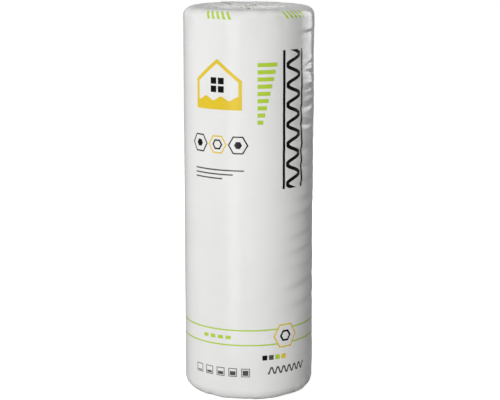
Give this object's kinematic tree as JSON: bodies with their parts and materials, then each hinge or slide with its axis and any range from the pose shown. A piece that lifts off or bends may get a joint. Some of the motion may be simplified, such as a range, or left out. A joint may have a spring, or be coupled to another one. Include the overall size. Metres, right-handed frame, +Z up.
{
  "type": "insulation roll",
  "caption": "Standing roll of glass-wool insulation felt wrapped in white plastic film, with rounded edges and film gathered in pleats over both ends.",
  "frame": {"origin": "middle of the base, on the floor that the roll stands on", "axes": "+Z up along the roll's axis; -Y is the side that faces the camera"},
  "size_m": [0.3999, 0.4, 1.2],
  "materials": {
    "wool": "matt fibrous glass wool",
    "film": "satin white polyethylene film"
  },
  "bodies": {
    "root": {"wool_roll": "wool", "film_wrap": "film"}
  },
  "joints": []
}
